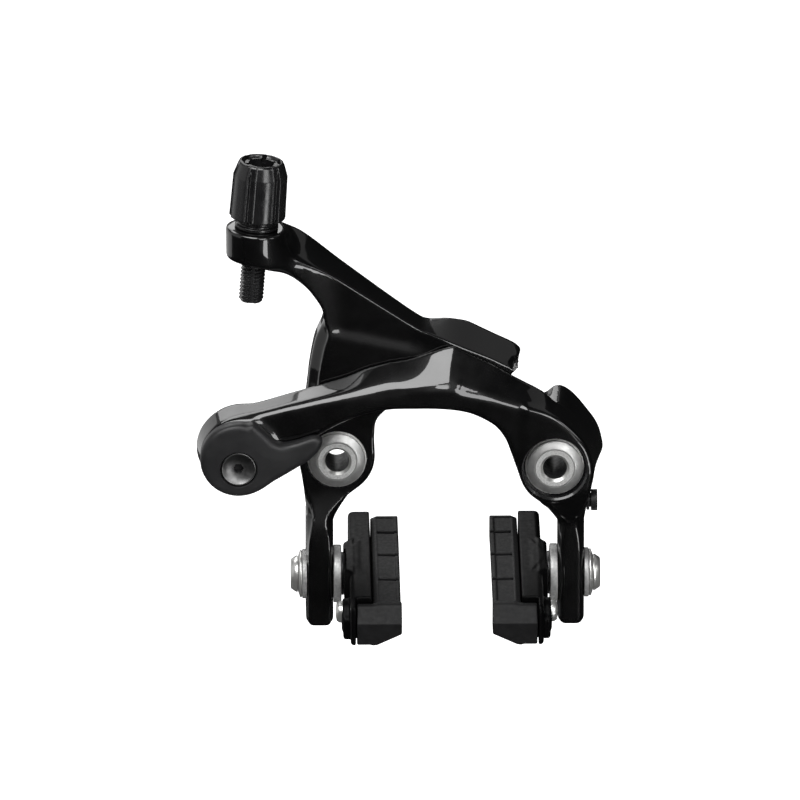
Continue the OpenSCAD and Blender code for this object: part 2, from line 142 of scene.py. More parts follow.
# ---------------------------------------------------------------- materials
class Surface:
    """A Principled material with noise in its colour, roughness and height."""

    def __init__(self, name, colour, roughness, metallic=0.0, coat=0.0, specular=0.5):
        self.mat = bpy.data.materials.new(name)
        self.mat.use_nodes = True
        self.mat.diffuse_color = (*colour, 1)
        self.nodes, self.links = self.mat.node_tree.nodes, self.mat.node_tree.links
        self.shader = self.nodes["Principled BSDF"]
        self.shader.inputs["Base Color"].default_value = (*colour, 1)
        self.shader.inputs["Roughness"].default_value = roughness
        self.shader.inputs["Metallic"].default_value = metallic
        self.shader.inputs["Specular IOR Level"].default_value = specular
        self.shader.inputs["Coat Weight"].default_value = coat
        self.shader.inputs["Coat Roughness"].default_value = 0.04
        self.colour, self.roughness = colour, roughness
        self.place = self.nodes.new("ShaderNodeTexCoord").outputs["Object"]

    def node(self, kind, **inputs):
        made = self.nodes.new(kind)
        for name, value in inputs.items():
            socket = made.inputs[name.replace("_", " ")]
            if isinstance(value, bpy.types.NodeSocket):
                self.links.new(value, socket)
            else:
                socket.default_value = value
        return made

    def noise(self, scale, detail=4.0, stretch=None):
        place = self.place
        if stretch:
            mapping = self.nodes.new("ShaderNodeMapping")
            mapping.inputs["Scale"].default_value = stretch
            self.links.new(place, mapping.inputs["Vector"])
            place = mapping.outputs["Vector"]
        made = self.node("ShaderNodeTexNoise", Vector=place, Scale=scale, Detail=detail)
        return made.outputs["Fac"]

    def spread(self, value, low, high):
        made = self.node("ShaderNodeMapRange", Value=value, From_Min=0.3, From_Max=0.7,
                         To_Min=low, To_Max=high)
        return made.outputs["Result"]

    def vary_roughness(self, value, amount):
        self.links.new(self.spread(value, self.roughness - amount, self.roughness + amount),
                       self.shader.inputs["Roughness"])
        return self

    def vary_colour(self, value, other):
        mix = self.nodes.new("ShaderNodeMix")
        mix.data_type = "RGBA"
        self.links.new(self.spread(value, 0, 1), mix.inputs[0])
        mix.inputs[6].default_value = (*self.colour, 1)
        mix.inputs[7].default_value = (*other, 1)
        self.links.new(mix.outputs[2], self.shader.inputs["Base Color"])
        return self

    def bump(self, value, metres):
        made = self.node("ShaderNodeBump", Height=value, Distance=metres, Strength=1.0)
        self.links.new(made.outputs["Normal"], self.shader.inputs["Normal"])


def make_materials():
    made = {}
    paint = Surface("gloss_black_paint", (0.0008, 0.0008, 0.0009), 0.35, coat=1.0, specular=0.15)
    paint.vary_roughness(paint.noise(260), 0.05)
    paint.vary_colour(paint.noise(90), (0.0014, 0.0014, 0.0015))
    paint.bump(paint.noise(900, 2), 0.000002)
    made["paint"] = paint.mat
    satin = Surface("satin_dark_anodising", (0.0075, 0.0075, 0.008), 0.42, metallic=0.1,
                    specular=0.3)
    satin.vary_roughness(satin.noise(400), 0.06)
    satin.vary_colour(satin.noise(150), (0.0105, 0.0105, 0.011))
    satin.bump(satin.noise(9000, 2), 0.000006)
    made["lever"] = satin.mat
    plated = Surface("bright_plating", (0.60, 0.60, 0.59), 0.34, metallic=0.9)
    plated.vary_roughness(plated.noise(700), 0.06).vary_colour(plated.noise(300), (0.52, 0.52, 0.5))
    plated.bump(plated.noise(3000, 3), 0.000002)
    made["plated"] = plated.mat
    turned = Surface("turned_steel", (0.55, 0.55, 0.545), 0.40, metallic=0.9)
    turned.vary_roughness(turned.noise(900), 0.10)
    turned.vary_colour(turned.noise(350), (0.46, 0.46, 0.455)).bump(turned.noise(6000, 3), 0.000004)
    made["steel"] = turned.mat
    spring = Surface("spring_wire", (0.42, 0.42, 0.42), 0.35, metallic=1.0)
    spring.vary_roughness(spring.noise(1200), 0.1).bump(spring.noise(5000, 2), 0.000005)
    made["spring"] = spring.mat
    black = Surface("black_oxide_steel", (0.010, 0.010, 0.0105), 0.34, metallic=0.3)
    black.vary_roughness(black.noise(1500), 0.08)
    black.vary_colour(black.noise(600), (0.016, 0.016, 0.017))
    black.bump(black.noise(8000, 2), 0.000003)
    made["black_steel"] = black.mat
    head = Surface("blackened_screw_head", (0.18, 0.18, 0.18), 0.42, metallic=1.0)
    head.vary_roughness(head.noise(1500), 0.06).vary_colour(head.noise(900), (0.13, 0.13, 0.13))
    head.bump(head.noise(6000, 2), 0.000003)
    made["screw_head"] = head.mat
    alloy = Surface("black_anodised_alloy", (0.006, 0.006, 0.0065), 0.28, coat=0.4, specular=0.4)
    alloy.vary_roughness(alloy.noise(700), 0.07)
    alloy.vary_colour(alloy.noise(200), (0.010, 0.010, 0.0105))
    alloy.bump(alloy.noise(7000, 2), 0.000002)
    made["alloy"] = alloy.mat
    plastic = Surface("moulded_black_plastic", (0.004, 0.004, 0.0043), 0.24, specular=0.5)
    plastic.vary_roughness(plastic.noise(500), 0.06)
    plastic.vary_colour(plastic.noise(250), (0.006, 0.006, 0.0063))
    plastic.bump(plastic.noise(5000, 3), 0.000004)
    made["plastic"] = plastic.mat
    bearing = Surface("bearing_plastic", (0.05, 0.05, 0.052), 0.5)
    bearing.vary_roughness(bearing.noise(900), 0.08).bump(bearing.noise(4000, 2), 0.000008)
    made["bearing"] = bearing.mat
    holder = Surface("coated_shoe_holder", (0.0008, 0.0008, 0.0009), 0.38, specular=0.05)
    holder.vary_roughness(holder.noise(900), 0.08)
    holder.vary_colour(holder.noise(300), (0.0013, 0.0013, 0.0014))
    holder.bump(holder.noise(7000, 3), 0.000006)
    made["holder"] = holder.mat
    rubber = Surface("pad_rubber", (0.0036, 0.0036, 0.0038), 0.56, specular=0.18)
    rubber.vary_roughness(rubber.noise(1200), 0.08)
    rubber.vary_colour(rubber.noise(500), (0.0052, 0.0052, 0.0055))
    rubber.bump(rubber.noise(2500, 5), 0.000015)
    made["rubber"] = rubber.mat
    cone = Surface("machined_nut_steel", (0.42, 0.42, 0.415), 0.42, metallic=0.9)
    cone.vary_roughness(cone.noise(900), 0.06).vary_colour(cone.noise(500), (0.33, 0.33, 0.325))
    cone.bump(cone.noise(7000, 3), 0.000006)
    made["cone"] = cone.mat
    rough = Surface("rough_cut_steel", (0.40, 0.40, 0.395), 0.52, metallic=0.5)
    rough.vary_roughness(rough.noise(2200), 0.10)
    rough.vary_colour(rough.noise(2600), (0.20, 0.20, 0.195))
    rough.bump(rough.noise(3500, 4), 0.00004)
    made["face_steel"] = rough.mat
    # painted shade: a far darker steel than the stud's face, standing in for the shade inside a
    # stud's bore
    bore = Surface("bore_painted_shade", (0.035, 0.035, 0.035), 0.45, metallic=0.5)
    bore.vary_roughness(bore.noise(900), 0.1).vary_colour(bore.noise(600), (0.02, 0.02, 0.02))
    bore.bump(bore.noise(2000, 2, (1, 3, 1)), 0.00003)
    made["bore"] = bore.mat
    washer = Surface("knurled_washer_steel", (0.33, 0.33, 0.325), 0.50, metallic=0.7)
    washer.vary_roughness(washer.noise(1500), 0.10)
    washer.vary_colour(washer.noise(1400), (0.22, 0.22, 0.22))
    washer.bump(washer.noise(2600, 4, (0.35, 1, 1)), 0.00003)
    made["washer"] = washer.mat
    return made


# ---------------------------------------------------------------- mesh helpers
def make_object(name, verts, faces, material, smooth_angle=35.0):
    """A mesh object from points in millimetres."""
    mesh = bpy.data.meshes.new(name)
    mesh.from_pydata([tuple(c * MM for c in v) for v in verts], [], faces)
    mesh.validate()
    obj = bpy.data.objects.new(name, mesh)
    bpy.context.scene.collection.objects.link(obj)
    mesh.materials.append(material)
    finish_shading(obj, smooth_angle)
    return obj


def ring_faces(around, columns):
    """Quads between the closed sections of a ring, each a run of so many columns of points."""
    faces = []
    for i in range(around):
        near, far = i * columns, (i + 1) % around * columns
        for j in range(columns):
            k = (j + 1) % columns
            faces.append((near + j, near + k, far + k, far + j))
    return faces


def finish_shading(obj, smooth_angle):
    bm = bmesh.new()
    bm.from_mesh(obj.data)
    bmesh.ops.recalc_face_normals(bm, faces=bm.faces)
    limit = math.radians(smooth_angle)
    for edge in bm.edges:
        if len(edge.link_faces) == 2:
            edge.smooth = edge.calc_face_angle(0.0) < limit
    for face in bm.faces:
        face.smooth = True
    bm.to_mesh(obj.data)
    bm.free()


def lathe(name, profile, material, base, segments=None, smooth_angle=35.0):
    """Turns a closed profile of (radius, height) about Z, then places it with base (mm)."""
    n = segments or ROUND
    verts = []
    for i in range(n):
        a = 2 * math.pi * i / n
        for r, h in profile:
            verts.append(base @ Vector((r * math.cos(a), r * math.sin(a), h)))
    return make_object(name, verts, ring_faces(n, len(profile)), material, smooth_angle)


def rounded(profile, radius, steps=3):
    """Rounds the corners of a closed profile with small arcs."""
    out = []
    k = len(profile)
    for i in range(k):
        p, q, r = (Vector(profile[j % k]) for j in (i - 1, i, i + 1))
        a, b = p - q, r - q
        reach = min(radius, a.length * 0.45, b.length * 0.45)
        if reach < 1e-4:
            out.append(tuple(q))
            continue
        start, stop = q + a.normalized() * reach, q + b.normalized() * reach
        for s in range(steps + 1):
            t = s / steps
            point = start.lerp(q, t).lerp(q.lerp(stop, t), t)
            out.append((point.x, point.y))
    return out


def hex_cutter(corner, start, stop, base):
    """Six-sided plug for a socket; corner is the distance of its corners from the axis."""
    ring = [(corner * math.cos(math.radians(60 * i)), corner * math.sin(math.radians(60 * i)))
            for i in range(6)]
    verts = [base @ Vector((a, b, h)) for h in (start, stop) for a, b in ring]
    faces = [tuple(range(5, -1, -1)), tuple(range(6, 12))]
    faces += [(i, (i + 1) % 6, 6 + (i + 1) % 6, 6 + i) for i in range(6)]
    return make_object("cutter", verts, faces, None)


def facing(across, up):
    """Local +Z points to the viewer, so that a height becomes a depth."""
    return Matrix.Translation((across, 0, up)) @ Matrix.Rotation(math.radians(90), 4, "X")


def along_x(side, depth=SHOE_DEPTH, up=SHOE_Z):
    """Local +Z points away from the middle, on the side given."""
    return Matrix.Translation((0, -depth, up)) @ Matrix.Rotation(math.radians(90 * side), 4, "Y")


ON_ADJUSTER = Matrix.Translation(ADJUSTER_TOP) @ Matrix.Rotation(ADJUSTER_LEAN, 4, "Y")


# ---------------------------------------------------------------- sculpting with distance fields
def smooth_max(a, b, k):
    t = np.clip(0.5 + 0.5 * (a - b) / k, 0, 1)
    return b * (1 - t) + a * t + k * t * (1 - t)


def smooth_min(a, b, k):
    return -smooth_max(-a, -b, k)


def ramp(value, low, high):
    t = np.clip((value - low) / (high - low), 0, 1)
    return t * t * (3 - 2 * t)


def smooth_closed(points, steps=8):
    """Closed Catmull-Rom curve through the points."""
    p = np.array(points, float)
    out = []
    for i in range(len(p)):
        a, b, c, d = p[i - 1], p[i], p[(i + 1) % len(p)], p[(i + 2) % len(p)]
        for t in np.arange(steps) / steps:
            out.append(0.5 * (2 * b + (c - a) * t + (2 * a - 5 * b + 4 * c - d) * t * t
                              + (3 * b - a - 3 * c + d) * t ** 3))
    return np.array(out)


def outline_distance(curve, x, z):
    """Signed distance to a closed curve, negative inside; x and z broadcast together."""
    shape = np.broadcast(x, z).shape
    nearest = np.full(shape, NEVER)
    inside = np.zeros(shape, bool)
    for (ax, az), (bx, bz) in zip(curve, np.roll(curve, -1, axis=0)):
        ux, uz = bx - ax, bz - az
        px, pz = x - ax, z - az
        t = np.clip((px * ux + pz * uz) / (ux * ux + uz * uz), 0, 1)
        nearest = np.minimum(nearest, (px - t * ux) ** 2 + (pz - t * uz) ** 2)
        if az != bz:
            crosses = ((az > z) != (bz > z)) & (x < ax + (z - az) * ux / uz)
            inside = inside ^ crosses
    return np.where(inside, -1, 1) * np.sqrt(nearest)


def between(depth, back, front):
    """How far a depth is from back to front, from 0 to 1."""
    return np.clip((depth - back) / (front - back), 0, 1)


def disc_distance(x, z, across, up, radius):
    return np.hypot(x - across, z - up) - radius


def surface_net(field, low, high, step):
    """Closed quad mesh of field = 0 between the corners low and high."""
    size = [int(math.ceil((high[i] - low[i]) / step)) + 1 for i in range(3)]
    axes = [low[i] + step * np.arange(size[i]) for i in range(3)]
    x, y, z = np.meshgrid(*axes, indexing="ij", sparse=True)
    f = np.broadcast_to(field(x, y, z), size).astype(np.float64)
    for side in (0, -1):                                # nothing runs out through the box
        for wall in (f[side], f[:, side], f[:, :, side]):
            np.maximum(wall, FIELD_EDGE, out=wall)
    cells = [n - 1 for n in size]
    total = np.zeros((3, int(np.prod(cells))))
    count = np.zeros(int(np.prod(cells)))
    rings = []
    for axis in range(3):
        lo = [slice(None)] * 3
        hi = [slice(None)] * 3
        lo[axis], hi[axis] = slice(0, -1), slice(1, None)
        a, b = f[tuple(lo)], f[tuple(hi)]
        where = np.argwhere((a < 0) != (b < 0))
        va, vb = a[tuple(where.T)], b[tuple(where.T)]
        spot = where.astype(float)
        spot[:, axis] += va / (va - vb)
        u, v = (axis + 1) % 3, (axis + 2) % 3
        ring = []
        for du, dv in ((0, 0), (-1, 0), (-1, -1), (0, -1)):
            cell = where.copy()
            cell[:, u] += du
            cell[:, v] += dv
            flat = np.ravel_multi_index(cell.T, cells)
            ring.append(flat)
            for i in range(3):
                total[i] += np.bincount(flat, spot[:, i], len(count))
            count += np.bincount(flat, minlength=len(count))
        ring = np.array(ring).T
        ring[va > 0] = ring[va > 0][:, ::-1]
        rings.append(ring)
    used = np.flatnonzero(count)
    number = np.full(len(count), -1)
    number[used] = np.arange(len(used))
    verts = (total[:, used] / count[used]).T * step + np.array(low)
    quads = number[np.concatenate(rings)]
    slope = np.gradient(f, step)
    for _ in range(3):                                  # steps down the slope, onto the surface
        index = tuple(np.clip(np.rint((verts - low) / step).astype(int).T,
                              0, np.array(size)[:, None] - 1))
        grad = np.stack([g[index] for g in slope], 1)
        value = field(*verts.T)
        move = grad * (value / np.maximum((grad ** 2).sum(1), 0.05))[:, None]
        verts -= np.clip(move, -0.4 * step, 0.4 * step)
    return verts, quads


def is_closed(quads):
    edges = np.sort(np.stack([quads, np.roll(quads, -1, axis=1)], 2).reshape(-1, 2), axis=1)
    return (np.unique(edges, axis=0, return_counts=True)[1] == 2).all()


def sculpt(name, field, low, high, material, step=None, place=None, flip=False):
    """Mesh of field = 0; place turns field coordinates into the frame's, both in millimetres."""
    size = step or FINE
    for _ in range(8):                                  # a shifted grid where a cell is pinched
        verts, quads = surface_net(field, low, high, size)
        if is_closed(quads):
            break
        low = tuple(v - 0.13 * size for v in low)
    if place:
        verts = place(verts)
    if flip:
        quads = quads[:, ::-1]
    mesh = bpy.data.meshes.new(name)
    mesh.from_pydata((verts * MM).tolist(), [], quads.tolist())
    mesh.validate()
    obj = bpy.data.objects.new(name, mesh)
    bpy.context.scene.collection.objects.link(obj)
    mesh.materials.append(material)
    for face in mesh.polygons:
        face.use_smooth = True
    return obj


def evaluated(obj):
    graph = bpy.context.evaluated_depsgraph_get()
    return bpy.data.meshes.new_from_object(obj.evaluated_get(graph))


def cut(obj, cutters, material):
    """Takes the cutters out of obj; the cut walls get the material, with sharp rims."""
    obj.data.materials.append(material)
    for cutter in cutters:
        cutter.data.materials.clear()
        cutter.data.materials.append(obj.data.materials[0])
        cutter.data.materials.append(material)
        for face in cutter.data.polygons:
            face.material_index = 1
        tool = obj.modifiers.new("cut", "BOOLEAN")
        tool.operation, tool.solver, tool.object = "DIFFERENCE", "MANIFOLD", cutter
        tool.material_mode = "INDEX"
    shaped = evaluated(obj)
    if len(shaped.vertices) == len(obj.data.vertices):       # the fast solver needs a closed mesh
        for tool in obj.modifiers:
            tool.solver = "EXACT"
        shaped = evaluated(obj)
    obj.modifiers.clear()
    shaped.name = obj.name
    obj.data = shaped
    for cutter in cutters:
        bpy.data.objects.remove(cutter)
    mark_rims(obj)


def mark_rims(obj):
    """Sharp edges where a cut meets the skin, and at the corners of the cut itself."""
    bm = bmesh.new()
    bm.from_mesh(obj.data)
    bmesh.ops.dissolve_degenerate(bm, dist=1e-7, edges=bm.edges)
    for edge in bm.edges:
        faces = edge.link_faces
        if len(faces) == 2:
            kinds = {f.material_index for f in faces}
            limit = 80 if kinds == {0} else 30
            edge.smooth = len(kinds) == 1 and edge.calc_face_angle(0.0) < math.radians(limit)
    for face in bm.faces:
        face.smooth = True
    bm.to_mesh(obj.data)
    bm.free()


# ---------------------------------------------------------------- front arm
FRONT_TOP = [(-61.5, 6), (-60.2, 9.8), (-57.2, 13.0), (-53.8, 14.9), (-50.4, 15.9), (-46.6, 16.9),
             (-41, 18.6), (-35, 20.4), (-28.3, 22.4), (-25.2, 23.4), (-20.8, 25.3), (-15.2, 26.9),
             (-9.6, 27.9), (-4.1, 29.7), (-0.6, 30.9), (2.2, 31.3), (4.0, 30.4), (7, 28.8),
             (11, 26.9), (15.5, 24.3), (20.4, 21.6), (24.0, 19.6), (26.6, 17.7), (28.8, 15.2),
             (31.2, 12.4), (34.0, 8.8), (36.4, 5.0), (37.5, 1), (37.6, -2.2)]
FRONT_BEVEL = [(-60.5, 5.5), (-59.0, 9.6), (-55.6, 13.0), (-51.5, 14.6), (-46.6, 15.8),
               (-41, 17.2), (-37.5, 17.9), (-32, 19.1), (-26.4, 19.7), (-20.8, 20.0),
               (-15.2, 20.4), (-9.6, 21.0), (-4.1, 21.4), (2.0, 21.7), (3.6, 21.1), (6.3, 20.3),
               (15.5, 18.0), (20.7, 16.6), (25.4, 15.2), (29, 13.2), (33.0, 9.6), (36.0, 5.6),
               (37.4, 1), (37.6, -2.2)]
SHOULDER = [(18, 15.0), (20, 15.0), (23.6, 14.2), (26.1, 14.8), (28.3, 16.4), (30.4, 16.4),
            (33.2, 14.4), (36.5, 10.4), (39.2, 6.4), (40.5, 2.4), (40.7, -1)]
FRONT_LOW = [(37.1, -5), (36.5, -9), (36.3, -12.5), (35.8, -16), (35.3, -18.8), (34, -20.5),
             (31, -20.5), (29.5, -18.8), (28.6, -16.2), (24.4, -10.2), (20.4, -4.6), (18.3, -0.4),
             (16.7, 4.1), (15.2, 8), (12.6, 11.4), (8.8, 13.8), (5, 15.3), (0, 16.2), (-5, 16.5),
             (-11, 16.3), (-17.9, 15.4), (-23.6, 13.7), (-30.2, 10.6), (-37, 6), (-44, 1),
             (-50, -4.6), (-57, 0)]
FRONT_UPPER = smooth_closed(FRONT_TOP + FRONT_LOW)
FRONT_FACE = smooth_closed(FRONT_BEVEL + FRONT_LOW)
FRONT_BACK = smooth_closed(SHOULDER + [(38.6, -5), (37.0, -9.3)] + FRONT_LOW[2:11] + [(18, -2)])
FRONT_DEPTH = 20.4


def leg_outline(across, z, bevel, outer=LEG_OUT):
    """A leg as seen from the front, mirrored to positive across; it starts inside the arm."""
    mid, half = (LEG_IN + outer) / 2, (outer - LEG_IN) / 2
    sides = np.abs(across - mid) - half + bevel
    return smooth_max(smooth_max(sides, LEG_BOTTOM - z, 1.6), z + 15.5, 0.2)


def leg_bevel(z, depth, front):
    """How far the side of a leg falls back towards its front face, most at the neck."""
    size = (0.6 + 1.1 * np.exp(-((z + 15) / 5.0) ** 2)) * ramp(-z, 6, 12)
    return size * ramp(depth, front - 3.4, front - 0.1)


def chamfered(a, b, size, k):
    """Rounded intersection of a and b with a flat of the size given between them."""
    return smooth_max(smooth_max(a, b, k), (a + b + size) * 0.7071, k)


def front_arm_field(x, y, z):
    depth = -y
    low_part = ramp(-z, 5, 18) * ramp(x, 18, 26)
    front_at = FRONT_DEPTH - 4.2 * low_part
    front = depth - front_at
    bevel = leg_bevel(z, depth, front_at) * ramp(x, 18, 24)
    leg = leg_outline(x, z, bevel)
    face = outline_distance(FRONT_FACE, x, z)
    upper = outline_distance(FRONT_UPPER, x, z)
    rear = outline_distance(FRONT_BACK, x, z)
    # the upper face bulges between the lever and the hump over the middle
    bulge = 1 - 0.28 * ramp(x, -34, -24) * ramp(-x, -4, 8)
    slope = (1 - between(depth, 13.2, FRONT_DEPTH)) ** bulge
    side = np.minimum(face + (upper - face) * slope + bevel, leg)
    flat = 1.15 - 4.2 * ramp(x, -16, 4)
    plate = chamfered(side, front, flat, 0.8 + 1.0 * ramp(x, -4, 8))
    plate = smooth_max(plate, 12.7 + 6.0 * low_part - depth, 1.2)
    slant = between(depth, 2.6, FRONT_DEPTH)
    shoulder = smooth_max(np.minimum(rear + (face - rear) * slant + bevel, leg), front, 1.2)
    shoulder = smooth_max(shoulder, 1.8 + 2.0 * low_part - depth, 1.0)
    body = smooth_min(plate, smooth_max(shoulder, 20.2 - x, 1.5), 1.6)
    hub = smooth_max(disc_distance(x, z, PIVOT_X, 0, 9.1), np.abs(depth - 11.1) - 9.3, 1.0)
    body = smooth_min(body, hub, 1.0)
    around = disc_distance(x, z, -53.4, 4, 10.75 - 0.14 * (depth - 13.2))
    boss = smooth_max(smooth_max(around, depth - 20.4, 1.2), 12.3 - depth, 0.5)
    return smooth_min(body, boss, 2.6)


def slot_cutter(side):
    """Stadium-shaped slot through a leg, for the height of the shoe."""
    half, travel, steps = 3.2, 3.5, 16
    ring = []
    for end in (1, -1):
        for i in range(steps + 1):
            a = math.pi * i / steps + (0 if end > 0 else math.pi)
            ring.append((SHOE_DEPTH + half * math.cos(a),
                         SHOE_Z + end * travel + half * math.sin(a)))
    verts = [(side * across, -d, z) for across in (LEG_IN - 3, LEG_OUT + 3) for d, z in ring]
    n = len(ring)
    faces = [tuple(range(n)), tuple(range(2 * n - 1, n - 1, -1))]
    faces += [(i, (i + 1) % n, n + (i + 1) % n, n + i) for i in range(n)]
    return make_object("cutter", verts, faces, None)


def spring_pocket(side):
    """Ring that leaves room around a pivot for its return spring."""
    ring = [(6.9, 0.5), (8.7, 0.5), (8.7, 8.2), (6.9, 8.2)]
    return lathe("cutter", ring, None, facing(side * PIVOT_X, 0), 64)


def make_front_arm(mats):
    arm = sculpt("front_arm_casting", front_arm_field, (-65.5, -21.5, -45.6), (41.6, -0.8, 31.4),
                 mats["paint"])
    counterbore = [(0, 17.8), (8.1, 17.8), (8.1, 20.0), (8.55, 20.45), (8.55, 24), (0, 24)]
    centring_hole = [(0, 29.5), (1.89, 29.5), (1.89, 36.35), (3.0, 36.35), (3.0, 45), (0, 45)]
    cutters = [
        lathe("cutter", [(0, 1.2), (5.9, 1.2), (5.9, 19), (0, 19)], None, facing(PIVOT_X, 0), 64),
        lathe("cutter", counterbore, None, facing(PIVOT_X, 0), 96),
        lathe("cutter", [(0, 9), (4.5, 9), (4.5, 23), (0, 23)], None, facing(*LEVER_AXIS), 64),
        lathe("cutter", [(0, 10), (1.5, 10), (1.5, 17), (0, 17)], None, facing(0, 22.3), 32),
        lathe("cutter", centring_hole, None, along_x(1, SHOE_DEPTH, -12.3), 48),
        slot_cutter(1), spring_pocket(1)]
    cut(arm, cutters, mats["alloy"])
    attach(arm, "front_arm_body")
    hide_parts("front_arm")


# ---------------------------------------------------------------- rear arm
REAR_TOP = [(-50, 62.0), (-44, 61.5), (-37.5, 59.8), (-26.5, 51.2), (-14.6, 42.0), (-7.5, 36.8),
            (-4.6, 35.4), (0, 35.4), (2.2, 35.2), (5.8, 34.5), (9.5, 32.7), (13.1, 30.9),
            (16.8, 29.1), (18.5, 28.0), (19.5, 26.7)]
REAR_EDGE = [(-50, 60.4), (-44, 59.2), (-37.5, 55.0), (-26.5, 47.6), (-14.6, 39.8), (-7.5, 35.3),
             (-4, 33.9), (0, 32.3), (5.2, 30.0), (11, 27.6), (14.6, 25.8), (16.4, 25.0),
             (17.4, 24.4)]
REAR_LOW = [(18.9, 25.0), (17.2, 23.3), (15.4, 22.2), (4, 24), (-6.2, 24), (-9.5, 19.6),
            (-13, 15.5), (-17.6, 11), (-18.4, 6), (-18.6, 0), (-20.2, -4.4), (-25.6, -11.2),
            (-28.6, -15.6), (-29.4, -18.5), (-31, -20.5), (-34, -20.5), (-35.5, -18.5),
            (-35.9, -14.5), (-36.8, -7), (-37.4, 0), (-36.8, 8), (-35.5, 20), (-34.9, 25),
            (-33.6, 31.6), (-31.6, 36.6), (-31.6, 40), (-33.2, 43.4), (-36.4, 47.4), (-41.4, 51),
            (-47, 53.2)]
REAR_UPPER = smooth_closed(REAR_TOP + REAR_LOW)
REAR_FACE = smooth_closed(REAR_EDGE + REAR_LOW)
REAR_DEPTH = 12.2
TRACK_R = 27.1


def adjuster_coords(x, y, z):
    """Distance from the adjuster axis, and height above the top face of its boss."""
    dx, dy, dz = x - ADJUSTER_TOP[0], y - ADJUSTER_TOP[1], z - ADJUSTER_TOP[2]
    c, s = math.cos(ADJUSTER_LEAN), math.sin(ADJUSTER_LEAN)
    return np.hypot(dx * c - dz * s, dy), dx * s + dz * c


def rear_arm_field(x, y, z):
    depth = -y
    upper = outline_distance(REAR_UPPER, x, z)
    face = outline_distance(REAR_FACE, x, z)
    slant = between(depth, 2.9, REAR_DEPTH)
    low_part = ramp(-z, 7, 21) * ramp(-x, 18, 24)
    crease = z - (33.9 - 0.22 * (x + 31))               # above or below the crease line
    hollow = 1.1 * ramp(crease, -1.0, 3.4) * ramp(x, -36, -26) * ramp(-x, -2, 10)
    near_boss = ramp(z - 0.7 * (x + 40), 36, 58) * ramp(-x, 29, 53)
    front_at = REAR_DEPTH - hollow + 4.4 * near_boss + 4.0 * low_part
    edge = 2.6 * ramp(-x, 27, 31) * ramp(z, 9, 15) * ramp(-z, -39, -33) * ramp(depth, 8.6, 12.0)
    bevel = leg_bevel(z, depth, front_at) * ramp(-x, 18, 24)
    side = np.minimum(upper + (face - upper) * slant + bevel + edge,
                      leg_outline(-x, z, bevel, LEG_OUT + 0.3))
    around_hub = ramp(-disc_distance(x, z, -PIVOT_X, 0, 8), -3, 0)
    back_depth = 2.3 - 0.4 * around_hub + 1.5 * ramp(-z, 9, 20)
    body = smooth_max(side, depth - front_at, 0.4 + 7.0 * near_boss)
    body = smooth_max(body, back_depth - depth, 0.9)
    hub = smooth_max(disc_distance(x, z, -PIVOT_X, 0, 9.6), np.abs(depth - 6.7) - 4.9, 0.8)
    body = smooth_min(body, hub, 1.0)
    radius, height = adjuster_coords(x, y, z)
    taper = radius - (7.9 + 0.085 * height)
    boss = smooth_max(taper, np.abs(height + 4.35) - 4.35, 1.3)
    body = smooth_min(body, boss, 4.5)
    body = smooth_max(body, height, 0.7)
    track = smooth_max(np.hypot(x, z) - TRACK_R, -6.2 - x, 0.6)
    return smooth_max(body, -track, 0.3)


def make_rear_arm(mats):
    arm = sculpt("rear_arm_casting", rear_arm_field, (-58.5, -19.2, -45.6), (20.2, -0.8, 64.8),
                 mats["paint"])
    seat = [(0, 11.6), (7.9, 11.6), (7.9, 16), (0, 16)]
    cutters = [
        lathe("cutter", [(0, 1.0), (5.9, 1.0), (5.9, 13), (0, 13)], None, facing(-PIVOT_X, 0), 64),
        lathe("cutter", seat, None, facing(-PIVOT_X, 0), 96),
        lathe("cutter", [(0, -12), (3.28, -12), (3.28, 2), (0, 2)], None, ON_ADJUSTER, 48),
        slot_cutter(-1), spring_pocket(-1)]
    cut(arm, cutters, mats["alloy"])
    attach(arm, "rear_arm_body")
    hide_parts("rear_arm")


# ---------------------------------------------------------------- pivots
def stud_piece(name, profile, place, mats):
    """A pivot stud with a bright chamfer around its mouth; its bore gets a far darker steel than
    the face, painted shade for the inside of the hole.
    """
    piece = lathe(name, profile, mats["face_steel"], place, smooth_angle=20)
    piece.data.materials.append(mats["bore"])
    piece.data.materials.append(mats["plated"])
    back = place.inverted()
    for face in piece.data.polygons:
        centre = back @ (face.center / MM)
        reach = math.hypot(centre.x, centre.y)
        # faces inside the bore get the darker steel, painted shade for the hole
        if reach < 3.2:
            face.material_index = 1
        elif reach < 3.74 and centre.z > 5:
            face.material_index = 2
    return piece


def pivot_pieces(side, word, face, mats):
    """Stud, nut and washer of a pivot; face is the depth of the front of the stud."""
    place = facing(side * PIVOT_X, 0)
    stud = [(3.1, 0), (9.4, 0), (9.4, 1.6), (5.0, 1.6), (5.0, face - 0.12), (4.95, face),
            (3.75, face), (3.1, face - 0.7)]
    nut = [(5.05, face - 1.6), (7.2, face - 1.6), (7.2, face - 1.15), (7.1, face - 1.0),
           (5.45, face - 0.03), (5.3, face), (5.05, face)]
    ring = [(5.05, face - 2.1), (7.6, face - 2.1), (7.6, face - 1.62), (5.05, face - 1.62)]
    made = {
        "pivot_stud": stud_piece(f"{word}_stud", stud, place, mats),
        "pivot_nut": lathe(f"{word}_cone_nut", nut, mats["cone"], place, smooth_angle=20),
        "thrust_washer": lathe(f"{word}_washer_ring", rounded(ring, 0.15), mats["plated"], place),
    }
    for node, piece in made.items():
        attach(piece, "pivot_studs")
        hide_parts(f"{word}_{node}")


